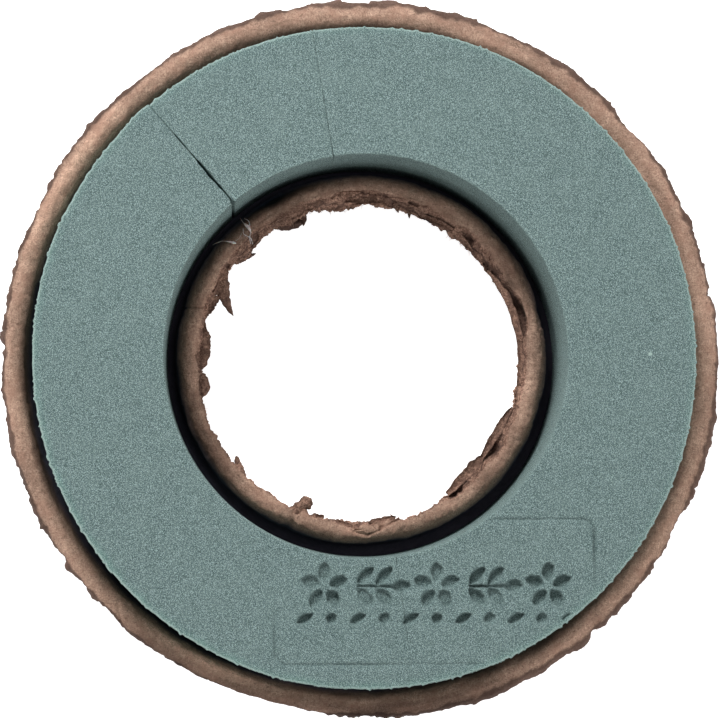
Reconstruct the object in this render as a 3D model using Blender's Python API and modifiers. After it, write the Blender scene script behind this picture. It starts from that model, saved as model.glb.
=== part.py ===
"""Floral-foam wreath ring in a moulded-pulp tray.

Metres, +Z up. The origin is on the surface the tray stands on, at the middle of the ring.
The tray is one pressed channel with an open middle. Three pieces of foam, butted end to end,
lie in the channel on dabs of hot-melt glue, and a bead of that glue shows beside the open joint.
"""

import math

import bmesh
import bpy
from mathutils import Vector

# Driving dimensions
OUTER_RADIUS = 0.125          # deckled outer edge of the tray's rim
EDGE_RADIUS = 0.0546          # torn inner edge, around the open middle
TOTAL_HEIGHT = 0.045          # standing surface to the top of the foam
RIM_HEIGHT = 0.0250           # crest of the outer rim
ROLL_HEIGHT = 0.0218          # crest of the roll around the open middle
PULP = 0.0024                 # thickness of the pulp
FOAM_OUTER_RADIUS = 0.1124
FOAM_WIDTH = 0.0439
FOAM_CENTRE = Vector((-0.0005, -0.0014))  # the foam lies a little off the tray's middle
HOLE_CENTRE = Vector((0.0002, -0.0010))   # and is a little narrower on one side
GLUE_LAYER = 0.0016           # gap between the tray's floor and the foam
CLEARANCE = 0.0003            # gap kept between touching solids

# Joints between the foam pieces, as angles from +X
OPEN_JOINT = math.radians(130.3)
TOP_JOINT = math.radians(99.5)
BOTTOM_JOINT = math.radians(278.2)
OPEN_JOINT_OUTER_GAP = 0.0004
OPEN_JOINT_INNER_GAP = 0.0012

FOAM_EDGE_BEVEL = 0.0009
GLUE_DAB_RADIUS = 0.0085
GLUE_DABS = 10
SCREW_STEPS = 72
ARC_STEP = math.radians(5.0)

FOAM_COLOUR = (0.180, 0.262, 0.255)
PULP_COLOUR = (0.262, 0.175, 0.135)
GLUE_COLOUR = (0.720, 0.700, 0.640)

FOAM_BOTTOM = PULP + GLUE_LAYER
FOAM_INNER_RADIUS = FOAM_OUTER_RADIUS - FOAM_WIDTH


def clear_scene():
    for thing in list(bpy.data.objects):
        bpy.data.objects.remove(thing, do_unlink=True)


def collection(name):
    made = bpy.data.collections.new(name)
    bpy.context.scene.collection.children.link(made)
    return made


def material(name, colour, roughness):
    made = bpy.data.materials.new(name)
    made.use_nodes = True
    shader = made.node_tree.nodes["Principled BSDF"]
    shader.inputs["Base Color"].default_value = (*colour, 1.0)
    shader.inputs["Roughness"].default_value = roughness
    shader.inputs["Metallic"].default_value = 0.0
    return made


def add_object(name, mesh, finish, home):
    made = bpy.data.objects.new(name, mesh)
    mesh.materials.append(finish)
    home.objects.link(made)
    return made


def shade_round(mesh, degrees=35.0):
    mesh.shade_smooth()
    mesh.set_sharp_from_angle(angle=math.radians(degrees))


def filleted(corners, segments=2):
    """Points of an open outline. Each corner is (radius, height, fillet radius)."""
    points = [Vector(corners[0][:2])]
    for before, corner, after in zip(corners, corners[1:], corners[2:]):
        here = Vector(corner[:2])
        back = (Vector(before[:2]) - here).normalized()
        ahead = (Vector(after[:2]) - here).normalized()
        half = back.angle(ahead) / 2
        reach = corner[2] / math.tan(half)
        middle = here + (back + ahead).normalized() * (corner[2] / math.sin(half))
        first = here + back * reach - middle
        turn = first.angle_signed(here + ahead * reach - middle)
        for step in range(segments + 1):
            angle = -turn * step / segments
            swung = Vector((first.x * math.cos(angle) - first.y * math.sin(angle),
                            first.x * math.sin(angle) + first.y * math.cos(angle)))
            points.append(middle + swung)
    points.append(Vector(corners[-1][:2]))
    return points


def tray_profile():
    """Upper surface of the tray's section, from the rim's edge across the floor to the torn edge."""
    return filleted([
        (OUTER_RADIUS, RIM_HEIGHT - 0.0050, 0.0),
        (OUTER_RADIUS - 0.0012, RIM_HEIGHT + 0.0003, 0.0028),
        (OUTER_RADIUS - 0.0070, RIM_HEIGHT - 0.0007, 0.0030),
        (OUTER_RADIUS - 0.0100, PULP, 0.0034),
        (FOAM_INNER_RADIUS - 0.0033, PULP, 0.0028),
        (EDGE_RADIUS + 0.0080, ROLL_HEIGHT - 0.0012, 0.0026),
        (EDGE_RADIUS + 0.0032, ROLL_HEIGHT + 0.0005, 0.0026),
        (EDGE_RADIUS, ROLL_HEIGHT - 0.0048, 0.0),
    ])


def make_tray(finish, home):
    outline = tray_profile()
    mesh = bpy.data.meshes.new("pulp_tray")
    shape = bmesh.new()
    verts = [shape.verts.new((point.x, 0.0, point.y)) for point in outline]
    for first, second in zip(verts, verts[1:]):
        shape.edges.new((first, second))
    shape.to_mesh(mesh)
    shape.free()
    tray = add_object("pulp_tray", mesh, finish, home)

    turned = tray.modifiers.new("turned", "SCREW")
    turned.steps = SCREW_STEPS
    turned.render_steps = SCREW_STEPS
    turned.use_merge_vertices = True
    turned.merge_threshold = 0.00001

    wall = tray.modifiers.new("wall", "SOLIDIFY")
    wall.thickness = PULP
    wall.offset = 1.0
    wall.use_even_offset = True
    return tray


def foam_outline(start, end, start_gap, end_gap):
    """Corners of one foam piece seen from above: its outer arc, then its inner arc back again."""
    steps = max(2, round((end - start) / ARC_STEP))
    outer, inner = [], []
    for step in range(steps + 1):
        share = step / steps
        angle = start + (end - start) * share
        along = Vector((math.cos(angle), math.sin(angle)))
        across = Vector((-along.y, along.x))
        outer.append(FOAM_CENTRE + along * FOAM_OUTER_RADIUS)
        inner.append(HOLE_CENTRE + along * FOAM_INNER_RADIUS)
        if step == 0:
            outer[-1] += across * start_gap[0] / 2
            inner[-1] += across * start_gap[1] / 2
        if step == steps:
            outer[-1] -= across * end_gap[0] / 2
            inner[-1] -= across * end_gap[1] / 2
    return outer + inner[::-1]


def make_foam(name, start, end, start_gap, end_gap, finish, home):
    mesh = bpy.data.meshes.new(name)
    shape = bmesh.new()
    corners = [shape.verts.new((p.x, p.y, FOAM_BOTTOM))
               for p in foam_outline(start, end, start_gap, end_gap)]
    base = shape.faces.new(corners)
    base.normal_update()
    raised = bmesh.ops.extrude_face_region(shape, geom=[base])
    top = [item for item in raised["geom"] if isinstance(item, bmesh.types.BMVert)]
    bmesh.ops.translate(shape, verts=top, vec=(0.0, 0.0, TOTAL_HEIGHT - FOAM_BOTTOM))
    bmesh.ops.recalc_face_normals(shape, faces=shape.faces)
    shape.to_mesh(mesh)
    shape.free()
    foam = add_object(name, mesh, finish, home)

    edges = foam.modifiers.new("worn_edges", "BEVEL")
    edges.width = FOAM_EDGE_BEVEL
    edges.segments = 2
    edges.limit_method = "ANGLE"
    edges.angle_limit = math.radians(50.0)
    shade_round(mesh)
    return foam


def make_foam_ring(finish, home):
    butted = (CLEARANCE, CLEARANCE)
    opened = (OPEN_JOINT_OUTER_GAP, OPEN_JOINT_INNER_GAP)
    full_turn = math.radians(360.0)
    make_foam("foam_wedge", TOP_JOINT, OPEN_JOINT, butted, opened, finish, home)
    make_foam("foam_left", OPEN_JOINT, BOTTOM_JOINT, opened, butted, finish, home)
    make_foam("foam_right", BOTTOM_JOINT, TOP_JOINT + full_turn, butted, butted, finish, home)


def make_glue_dab(name, angle, finish, home):
    """A flattened dab between the tray's floor and the underside of the foam."""
    mesh = bpy.data.meshes.new(name)
    shape = bmesh.new()
    bmesh.ops.create_cone(
        shape,
        cap_ends=True,
        segments=20,
        radius1=GLUE_DAB_RADIUS,
        radius2=GLUE_DAB_RADIUS * 0.86,
        depth=GLUE_LAYER - 2 * CLEARANCE,
    )
    shape.to_mesh(mesh)
    shape.free()
    shade_round(mesh)
    dab = add_object(name, mesh, finish, home)
    middle = (FOAM_OUTER_RADIUS + FOAM_INNER_RADIUS) / 2
    dab.location = (middle * math.cos(angle), middle * math.sin(angle), PULP + GLUE_LAYER / 2)
    return dab


def make_glue_dabs(finish, home):
    for number in range(GLUE_DABS):
        angle = OPEN_JOINT - math.radians(14.0) + number * math.radians(360.0) / GLUE_DABS
        make_glue_dab(f"glue_dab_{number + 1:02d}", angle, finish, home)


def make_glue_bead(finish, home):
    """Glue squeezed out of the open joint, lying on the tray's inner roll."""
    line = bpy.data.curves.new("glue_bead", "CURVE")
    line.dimensions = "3D"
    line.bevel_depth = 0.0009
    line.bevel_resolution = 2
    line.use_fill_caps = True
    route = line.splines.new("POLY")
    count = 9
    route.points.add(count - 1)
    height = ROLL_HEIGHT + line.bevel_depth + CLEARANCE
    for number, point in enumerate(route.points):
        share = number / (count - 1)
        angle = OPEN_JOINT + math.radians(-5.0 + 14.0 * share)
        radius = EDGE_RADIUS + 0.0055
        point.co = (radius * math.cos(angle), radius * math.sin(angle), height, 1.0)
        point.radius = 0.45 + 0.55 * math.sin(math.pi * share)
    guide = bpy.data.objects.new("glue_bead_line", line)
    home.objects.link(guide)
    evaluated = guide.evaluated_get(bpy.context.evaluated_depsgraph_get())
    mesh = bpy.data.meshes.new_from_object(evaluated)
    mesh.name = "glue_bead"
    bpy.data.objects.remove(guide, do_unlink=True)
    shape = bmesh.new()
    shape.from_mesh(mesh)
    bmesh.ops.remove_doubles(shape, verts=shape.verts, dist=0.00001)
    bmesh.ops.recalc_face_normals(shape, faces=shape.faces)
    shape.to_mesh(mesh)
    shape.free()
    shade_round(mesh)
    mesh.materials.clear()
    return add_object("glue_bead", mesh, finish, home)


def build():
    clear_scene()
    home = collection("floral_foam_ring")
    pulp = material("pulp", PULP_COLOUR, 0.92)
    foam = material("foam", FOAM_COLOUR, 0.95)
    glue = material("glue", GLUE_COLOUR, 0.45)
    make_tray(pulp, home)
    make_foam_ring(foam, home)
    make_glue_dabs(glue, home)
    make_glue_bead(glue, home)


build()
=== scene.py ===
"""Looks of the floral-foam ring: a ragged pulp tray, three pieces of foam with a pressed mark,
torn flaps and fibres of pulp, and strings of glue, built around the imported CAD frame.

Metres, +Z up. The ring lies flat, and its middle is at the origin. Angles run from +X.
"""

import math

import bmesh
import bpy
import numpy as np
from mathutils import Matrix, Vector


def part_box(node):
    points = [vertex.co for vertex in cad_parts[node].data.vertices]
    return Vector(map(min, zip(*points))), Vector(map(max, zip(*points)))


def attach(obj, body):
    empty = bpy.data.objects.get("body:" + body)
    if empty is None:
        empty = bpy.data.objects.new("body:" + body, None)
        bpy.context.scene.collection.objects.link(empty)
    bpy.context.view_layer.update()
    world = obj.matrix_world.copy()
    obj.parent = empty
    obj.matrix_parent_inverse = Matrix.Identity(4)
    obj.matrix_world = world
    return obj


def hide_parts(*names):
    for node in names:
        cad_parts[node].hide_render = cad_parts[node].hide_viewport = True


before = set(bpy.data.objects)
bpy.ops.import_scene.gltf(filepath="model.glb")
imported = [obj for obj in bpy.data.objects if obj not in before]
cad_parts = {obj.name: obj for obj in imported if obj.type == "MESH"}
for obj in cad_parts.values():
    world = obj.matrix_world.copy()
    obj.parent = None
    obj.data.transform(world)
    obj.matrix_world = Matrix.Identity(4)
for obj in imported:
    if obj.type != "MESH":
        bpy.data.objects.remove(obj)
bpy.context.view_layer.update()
tray_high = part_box("pulp_tray")[1]
foam_left_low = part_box("foam_left")[0]
foam_right_low, foam_right_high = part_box("foam_right")

SEED = 7
TURN = 2 * math.pi
MM = 0.001

# The tray
RIM_RADIUS = tray_high.x
RIM_TOP = tray_high.z
RIM_LEAN = 1.0 * MM
PULP = 2.4 * MM
ROLL_TOP = 21.8 * MM
ROLL_RADIUS = 60.9 * MM
SKIN_RADIUS = 57.7 * MM
TRAY_COLUMNS = 1440
FILLET_STEPS = 10
WIRE_PITCH = 1.1 * MM
BAND_PITCH = 0.314

# Short lengths of the rim that stand out or back as one
RIM_STEP = 9.5 * MM
RIM_STEPS = 82

# The torn opening in the middle, which is a little off the tray's own middle
TORN_CENTRE = np.array([-1.0, -1.8]) * MM
TORN_RADIUS = 55.6 * MM

# Larger tears and dents: (angle, half width, amount) in degrees and millimetres, outwards positive
TORN_FEATURES = [
    (318, 22, -1.9), (137, 9, -1.9), (116, 8, -1.3), (152, 9, -0.3), (97, 13, -2.4), (86, 5, -0.6),
    (202, 16, 0.6), (285, 9, 0.5), (6, 10, 0.5), (25, 9, 0.3), (250, 4, -1.0), (306, 4, -0.6),
    (166, 5, -0.8), (236, 5, -0.9), (345, 6, -0.8), (36, 5, -0.8), (331, 4, 0.6),
]
SKIN_FEATURES = [
    (16, 12, 2.5), (326, 9, 0.9), (304, 7, 0.5), (96, 6, 1.0), (60, 7, -0.4),
    (205, 40, -0.9), (245, 20, -0.9), (266, 9, 1.2), (280, 6, -1.0),
]
RIM_FEATURES = [
    (255, 13, -4.4), (240, 8, -1.6), (85, 34, 0.9), (52, 12, 1.6), (30, 14, 0.4), (290, 18, 0.9),
    (315, 12, 0.9), (348, 14, 0.9), (200, 16, 0.6), (118, 6, -1.4), (155, 6, -1.2), (331, 5, -1.6),
    (307, 2.5, 0.9), (310, 1.5, -1.3), (225, 4, -1.3), (235, 4, -0.8), (190, 4, -0.9), (210, 4, 1.2),
    (216, 1.2, 0.9), (220, 2.5, -1.0), (10.6, 0.7, -1.3), (8.2, 2.4, 0.9), (14.5, 4.0, -0.6),
    (176, 4, 0.9), (178.5, 0.8, -1.0), (41, 3, -0.9), (128, 5, -0.7),
]

# Hollows where the skin has lifted off the torn plies: (angle, half width, depth)
HOLLOWS = [
    (15, 12, 6.5), (325, 6, 4.2), (305, 6, 3.6), (58, 5, 2.6), (48, 4, 3.2),
    (64, 3, 1.8), (33, 6, 2.0), (84, 12, 1.4), (112, 9, 1.2), (345, 8, 1.2), (191, 7, 1.4),
]

# Painted light and shade on the pulp, patches made lighter or darker than the lamps make them: (angle, half
# width, from radius, to radius, amount)
PAINTED_LIGHT_AND_SHADE = [
    (272, 34, 112, 126, -0.68), (268, 20, 117.5, 120.5, 0.45), (332, 32, 118, 126, 0.60),
    (330, 18, 112, 117, 0.20), (242, 20, 112.5, 120.3, 1.35), (240, 20, 121.5, 126, -0.40),
    (85, 50, 112, 118, -0.75), (80, 75, 119, 126, 0.17), (150, 26, 111, 118, 1.20),
    (148, 24, 118.0, 123, 1.00), (196, 50, 108, 118.6, -0.70), (214, 22, 119.5, 124, 0.20),
    (303, 24, 108, 118.8, -0.80), (303, 22, 120, 126, 0.40), (0, 24, 112, 120, 0.30),
    (2, 30, 119, 126, 0.25), (184, 24, 119.5, 125, 0.15),
    (2, 18, 54, 65, -0.20), (28, 22, 54, 65, -0.55), (202, 32, 54, 65, -0.38), (210, 26, 59.3, 66, -0.35),
    (92, 24, 52, 58, 0.60), (84, 34, 57, 61, 0.20), (60, 18, 58.5, 64, 0.30), (120, 12, 54, 60, -0.35),
    (120, 22, 59.8, 66, -0.90), (150, 18, 55, 61, 0.45), (242, 18, 57, 65, 0.35),
    (130, 44, 62, 70, -0.70), (82, 40, 63, 70, -0.50),
]

# Creases across the pulp: points as (angle, radius), then width and depth in millimetres
CREASES = [
    ([(164.5, 65.0), (162.5, 57.0)], 0.5, 0.7),
    ([(246.0, 64.5), (247.5, 60.5), (246.5, 57.0)], 2.2, 0.7),
    ([(259.0, 57.0), (263.0, 58.2), (268.0, 60.4), (272.0, 61.2)], 0.9, 1.1),
    ([(272.0, 61.2), (279.0, 59.0), (284.0, 57.6)], 0.5, 0.7),
    ([(101.0, 57.0), (96.0, 59.2), (89.0, 58.2), (76.0, 57.6)], 0.6, 0.8),
    ([(10.2, 125.0), (10.5, 117.0)], 0.6, 0.6),
    ([(176.0, 125.0), (175.0, 118.0)], 0.5, 0.5),
    ([(223.0, 125.0), (225.5, 119.0), (228.0, 124.0)], 0.7, 0.5),
]

# Torn scraps: line as (angle, radius, height), widths along it, curl of its sides, and thickness
SCRAPS = {
    "left": (
        [(147, 59.0, 19.0), (153, 55.4, 18.2), (158.0, 51.3, 17.4), (162.3, 47.2, 16.6)],
        [4.6, 5.2, 3.4, 0.5], -0.7, 0.8,
    ),
    "left_root": ([(167, 58.4, 19.4), (162, 56.6, 18.4), (157, 54.2, 17.6)], [3.2, 4.9, 1.8], 0.3, 0.9),
    "top": (
        [(124.5, 56.0, 16.6), (120.5, 54.2, 14.8), (116.0, 53.0, 13.6), (112.4, 53.2, 13.8)],
        [1.4, 3.2, 3.8, 2.2], -1.4, 0.8,
    ),
    "top_tip": (
        [(112.0, 55.6, 16.6), (112.6, 53.2, 14.8), (113.8, 50.8, 13.6)],
        [2.6, 2.6, 0.5], -0.6, 0.6,
    ),
    "upper_left": (
        [(143.0, 56.0, 17.2), (139.4, 54.2, 16.0), (135.2, 52.2, 15.2)],
        [2.4, 2.8, 0.6], -0.9, 0.7,
    ),
    "shred_a": ([(78.0, 55.6, 18.6), (77.0, 54.0, 17.4), (75.9, 52.8, 16.8)], [2.2, 1.5, 0.4], 0.2, 0.5),
    "shred_b": ([(73.2, 56.4, 18.6), (72.2, 54.4, 17.4), (71.2, 52.0, 16.6)], [2.6, 1.9, 0.4], 0.2, 0.5),
    "left_long": (
        [(166, 58.2, 18.8), (172, 56.9, 18.0), (178, 56.0, 17.4), (185, 56.8, 17.6)],
        [2.4, 5.4, 5.8, 2.8], 0.5, 0.9,
    ),
    "left_tip": (
        [(171, 56.6, 18.0), (174.5, 54.6, 17.0), (177.0, 53.0, 16.4)],
        [1.8, 2.2, 0.5], -0.5, 0.7,
    ),
    "left_lobe": (
        [(182.5, 58.8, 18.0), (187, 57.4, 17.2), (190.5, 56.5, 16.8), (194, 57.4, 16.8)],
        [2.0, 4.6, 4.8, 2.4], -0.5, 0.8,
    ),
    "lower_left": (
        [(225.5, 58.6, 19.6), (222, 57.4, 18.0), (218.0, 55.8, 17.0)],
        [1.6, 2.8, 1.4], -0.8, 0.7,
    ),
    "stub": (
        [(246.4, 61.6, 20.2), (247.0, 58.8, 20.9), (248.2, 55.8, 21.4), (250.2, 52.3, 20.6)],
        [9.0, 6.2, 4.0, 4.6], -1.7, 2.4,
    ),
    "stub_lump": (
        [(250.5, 60.4, 20.0), (253.5, 58.6, 19.4), (256.6, 57.0, 18.6)],
        [3.6, 3.6, 1.4], 0.5, 1.1,
    ),
    "bottom_lip": (
        [(267.5, 60.8, 20.2), (272, 59.0, 19.6), (277.0, 57.6, 19.2), (282.0, 56.8, 18.8)],
        [1.6, 3.4, 3.2, 0.8], 0.6, 0.8,
    ),
    "bottom_spike": (
        [(282.0, 59.6, 19.6), (281.0, 57.8, 19.0), (280.2, 55.4, 18.8)],
        [2.4, 1.4, 0.3], 0.2, 0.6,
    ),
    "right_ply": (
        [(302, 56.2, 18.6), (309, 55.0, 17.8), (316, 54.4, 17.8), (321, 54.6, 18.0)],
        [1.6, 3.4, 3.8, 1.4], 0.6, 1.0,
    ),
    "right_low": (
        [(320, 54.6, 17.6), (327, 54.0, 17.2), (335, 54.2, 17.4), (342, 55.4, 17.6)],
        [1.2, 2.8, 2.8, 1.0], 0.5, 0.9,
    ),
    "right_strip": (
        [(350, 55.8, 17.8), (2, 56.0, 17.6), (14, 55.5, 18.4), (26, 54.9, 18.0), (35, 53.9, 17.6)],
        [1.2, 2.4, 2.6, 2.6, 0.8], 0.4, 0.9,
    ),
    "upper_ply": (
        [(44, 54.2, 17.6), (52, 54.8, 18.2), (60, 54.8, 18.0), (70, 54.4, 17.4)],
        [0.8, 2.2, 2.0, 0.8], 0.5, 0.9,
    ),
    "top_ply": (
        [(82, 55.2, 18.0), (89, 55.4, 18.6), (97, 55.8, 18.4), (104, 55.8, 17.8)],
        [0.8, 2.0, 2.2, 0.8], 0.5, 0.9,
    ),
}

# Loose paper fibres at the torn edge and the rim
FIBRES = 300
FIBRE_KNOTS = 6

# The foam
FOAM_TOP = foam_right_high.z
FOAM_BASE = foam_right_low.z
FOAM_RADIUS = (foam_right_high.x - foam_left_low.x) / 2
FOAM_CENTRE = np.array([(foam_right_high.x + foam_left_low.x) / 2 + 0.7 * MM, -1.0 * MM])
HOLE_CENTRE = np.array([0.2, -1.0]) * MM
HOLE_RADIUS = FOAM_RADIUS - 43.9 * MM
FOAM_ACROSS = 126
FOAM_DOWN = 27
EDGE_ROUND = 0.5 * MM
PROUD_AT = 133.0
OPEN_JOINT = math.radians(131.1)
TOP_JOINT = math.radians(99.5)
BOTTOM_JOINT = math.radians(278.2)

# Strings of glue: line as (angle, radius, height), and the string's radius along it
GLUE_KNOTS = 26
GLUE_FLATNESS = 0.55
GLUE_STRINGS = [
    ([(131.4, 64.6, 20.6), (131.8, 62.4, 22.6), (131.6, 60.4, 22.7), (132.0, 58.2, 21.9)],
     [0.05, 0.10, 0.80, 0.22]),
    ([(132.0, 58.4, 21.9), (133.6, 57.2, 21.3), (134.6, 55.6, 19.6)], [0.16, 0.22, 0.08]),
    ([(130.6, 63.6, 21.6), (130.2, 61.6, 22.8), (131.2, 59.6, 22.5)], [0.05, 0.10, 0.16]),
    ([(133.0, 61.2, 22.8), (134.2, 59.4, 22.4), (133.4, 57.0, 21.2), (134.2, 55.0, 19.2)],
     [0.05, 0.08, 0.14, 0.07]),
    ([(141.0, 64.0, 21.0), (139.9, 62.2, 22.6), (138.8, 60.2, 22.7), (138.2, 59.2, 22.4)],
     [0.04, 0.08, 0.62, 0.16]),
    ([(140.4, 63.2, 22.0), (142.2, 64.8, 19.6), (143.0, 65.6, 16.0)], [0.10, 0.08, 0.05]),
    ([(134.6, 60.2, 22.6), (136.2, 59.6, 22.6), (137.8, 59.8, 22.6)], [0.05, 0.07, 0.06]),
]

# The pressed mark
MARK_CENTRE = np.array([23.4, -80.8]) * MM
MARK_SIZE = np.array([108.2, 48.6]) * MM
MARK_CORNER = 4.6 * MM
MARK_DEPTH = 2.5 * MM
BIG_ROW_Y = 1.9 * MM
SMALL_ROW_Y = -8.9 * MM
PLANT_SIZE = 7.9 * MM
PLANT_PITCH = 18.9 * MM
LEAVES = 11
LEAF_PITCH = 8.9 * MM
SPECK = np.array([96.7, -0.3]) * MM

# Lights: azimuth from +X, elevation and power
LIGHT_DISTANCE = 1.3
LIGHT_SIZE = 0.5
LIGHTS = {
    "key": (112.0, 42.0, 16.8),
    "overhead": (20.0, 78.0, 1.2),
    "fill_front": (285.0, 32.0, 2.9),
    "fill_right": (-8.0, 25.0, 5.5),
    "fill_left": (172.0, 26.0, 5.4),
}
SKY_STRENGTH = 0.25
FLOOR_HALF = 3.0
FLOOR_LEVEL = -0.1 * MM

# The camera, which looks down from above and leans a little towards the lower left
CAMERA_LEAN = math.radians(4.75)
CAMERA_AZIMUTH = math.radians(232.0)
CAMERA_DISTANCE = 0.80
CAMERA_TARGET = Vector((-0.93 * MM, -0.81 * MM, 22.0 * MM))
LENS = 114.9


# ------------ noise and small maths

def smooth(x, low, high):
    """0 below low, 1 above high, with a soft turn between them."""
    t = np.clip((x - low) / (high - low), 0.0, 1.0)
    return t * t * (3 - 2 * t)


def polar(radius, angle):
    """x and y of the point at a radius and an angle."""
    return radius * np.cos(angle), radius * np.sin(angle)


def joined(*grids):
    """Grids side by side."""
    return np.concatenate(grids, 1)


def lattice(i, j, k, seed):
    """A fixed random number from -1 to 1 for each whole-numbered cell."""
    n = (i * 73856093) ^ (j * 19349663) ^ (k * 83492791) ^ (seed * 26544357)
    n = ((n ^ (n >> 13)) * 1274126177) & 0xFFFFFFFF
    n = ((n ^ (n >> 15)) * 73244475) & 0xFFFFFFFF
    return ((n >> 8) & 0xFFFF) / 32767.5 - 1.0


def noise(x, y, z, cell, seed):
    """Value noise from -1 to 1 whose lumps are about one cell wide."""
    p = [np.asarray(v, float) / cell for v in np.broadcast_arrays(x, y, z)]
    whole = [np.floor(v).astype(np.int64) for v in p]
    part = [v - w for v, w in zip(p, whole)]
    part = [t * t * (3 - 2 * t) for t in part]
    total = 0.0
    for corner in range(8):
        step = [(corner >> axis) & 1 for axis in range(3)]
        weight = 1.0
        for t, s in zip(part, step):
            weight = weight * (t if s else 1 - t)
        total = total + weight * lattice(*[w + s for w, s in zip(whole, step)], seed)
    return total


def layered(x, y, z, cell, seed, octaves=3, fade=0.5):
    total, size = 0.0, 1.0
    for octave in range(octaves):
        total = total + size * noise(x, y, z, cell / 2 ** octave, seed + 17 * octave)
        size *= fade
    return total


def around(angle, cell, seed, octaves=3, fade=0.5):
    """Noise along a circle of 100 mm radius, which closes on itself."""
    return layered(*polar(100 * MM, angle), 0.0, cell, seed, octaves, fade)


def wrapped(angle):
    return (np.asarray(angle) + math.pi) % TURN - math.pi


def hump(angle, degrees, width):
    """1 at an angle in degrees, and 0 beyond width degrees either side of it."""
    away = np.abs(np.degrees(wrapped(angle - math.radians(degrees)))) / width
    return smooth(1 - away, 0.0, 1.0)


def filleted(corners):
    """Points of an open outline. Each corner is (radius, height, fillet radius)."""
    points = [np.array(corners[0][:2], float)]
    for before, corner, after in zip(corners, corners[1:], corners[2:]):
        here = Vector(corner[:2])
        back = (Vector(before[:2]) - here).normalized()
        ahead = (Vector(after[:2]) - here).normalized()
        half = back.angle(ahead) / 2
        reach = corner[2] / math.tan(half)
        middle = here + (back + ahead).normalized() * (corner[2] / math.sin(half))
        first = here + back * reach - middle
        turn = -first.angle_signed(here + ahead * reach - middle)
        for step in range(FILLET_STEPS + 1):
            angle = turn * step / FILLET_STEPS
            points.append(np.array([
                middle.x + first.x * math.cos(angle) - first.y * math.sin(angle),
                middle.y + first.x * math.sin(angle) + first.y * math.cos(angle),
            ]))
    points.append(np.array(corners[-1][:2], float))
    return np.array(points)


def resampled(points, spacing):
    """The same open line with points spaced as spacing(distance along it, whole length) says."""
    steps = np.linalg.norm(np.diff(points, axis=0), axis=1)
    along = np.concatenate([[0.0], np.cumsum(steps)])
    places, here = [0.0], 0.0
    while here < along[-1]:
        here += spacing(here, along[-1])
        places.append(min(here, along[-1]))
    if places[-1] - places[-2] < 0.3 * spacing(along[-1], along[-1]):
        places.pop(-2)
    places = np.array(places)
    return np.stack([np.interp(places, along, points[:, axis]) for axis in (0, 1)], 1), places


def loop_faces(rows, columns, closed):
    """Faces of a grid whose rows are loops. The rows form a ring, or a length with flat ends."""
    index = np.arange(rows * columns).reshape(rows, columns)
    u_next = np.roll(index, -1, 0)
    v_next = np.roll(index, -1, 1)
    both = np.roll(u_next, -1, 1)
    span = slice(None) if closed else slice(0, -1)
    faces = np.stack([grid[span] for grid in (index, u_next, both, v_next)], -1)
    faces = faces.reshape(-1, 4).tolist()
    if not closed:
        faces += [index[0].tolist(), index[-1][::-1].tolist()]
    return faces


def grid_object(name, places, closed, marks, finish):
    """A piece from a grid of points [u, v, xyz] whose rows are loops.

    marks are named values for each point, which the materials read.
    """
    mesh = bpy.data.meshes.new(name)
    mesh.from_pydata(places.reshape(-1, 3).tolist(), [], loop_faces(*places.shape[:2], closed))
    for mark, values in marks.items():
        stored = mesh.attributes.new(mark, "FLOAT", "POINT")
        stored.data.foreach_set("value", np.ascontiguousarray(values, np.float32).ravel())
    return finished(name, mesh, finish)


def finished(name, mesh, finish):
    """Links a mesh as a smooth piece with outward faces and its material."""
    shape = bmesh.new()
    shape.from_mesh(mesh)
    bmesh.ops.recalc_face_normals(shape, faces=shape.faces)
    shape.to_mesh(mesh)
    shape.free()
    mesh.materials.append(finish)
    mesh.shade_smooth()
    made = bpy.data.objects.new(name, mesh)
    bpy.context.scene.collection.objects.link(made)
    return made


# ------------ materials

class Nodes:
    """Short names for building one material's nodes."""

    def __init__(self, name):
        self.material = bpy.data.materials.new(name)
        self.material.use_nodes = True
        self.tree = self.material.node_tree
        self.shader = self.tree.nodes["Principled BSDF"]
        self.place = self.node("ShaderNodeTexCoord", {}, "Object")

    def fill(self, sockets, values):
        """Links each value that is another node's output, and sets the others."""
        for key, value in values.items():
            if hasattr(value, "is_output"):
                self.tree.links.new(value, sockets[key])
            else:
                sockets[key].default_value = value

    def node(self, kind, values, output, **settings):
        """Adds a node with its settings and input values, and returns one of its outputs."""
        made = self.tree.nodes.new(kind)
        for key, value in settings.items():
            setattr(made, key, value)
        self.fill(made.inputs, values)
        return made.outputs[output]

    def finish(self, values):
        self.fill(self.shader.inputs, values)
        return self.material

    def noise(self, size, detail=2.0, rough=0.55, place=None, distortion=0.0):
        """Noise whose lumps are about size metres wide."""
        values = {"Vector": place or self.place, "Scale": 1.0 / size, "Detail": detail}
        values.update({"Roughness": rough, "Distortion": distortion})
        return self.node("ShaderNodeTexNoise", values, "Fac")

    def cells(self, size):
        """Distance to the middle of the nearest cell, from cells about size metres wide."""
        return self.node("ShaderNodeTexVoronoi", {"Vector": self.place, "Scale": 1.0 / size}, "Distance")

    def mark(self, name):
        """A value stored at each of the mesh's points, 0 where the mesh has none by that name."""
        return self.node("ShaderNodeAttribute", {}, "Fac", attribute_name=name)

    def span(self, value, low, high, to_low=0.0, to_high=1.0):
        values = {"Value": value, "From Min": low, "From Max": high, "To Min": to_low, "To Max": to_high}
        return self.node("ShaderNodeMapRange", values, "Result", interpolation_type="SMOOTHSTEP")

    def maths(self, operation, first, second):
        return self.node("ShaderNodeMath", {0: first, 1: second}, "Value", operation=operation)

    def mix(self, share, first, second, blend="MIX"):
        values = {"Factor": share, "A": first, "B": second}
        return self.node("ShaderNodeMix", values, "Result", data_type="RGBA", blend_type=blend)

    def bump(self, height, distance, strength, under=None):
        values = {"Height": height, "Distance": distance, "Strength": strength}
        if under is not None:
            values["Normal"] = under
        return self.node("ShaderNodeBump", values, "Normal")


def rgb(red, green, blue):
    return (red, green, blue, 1.0)


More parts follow.
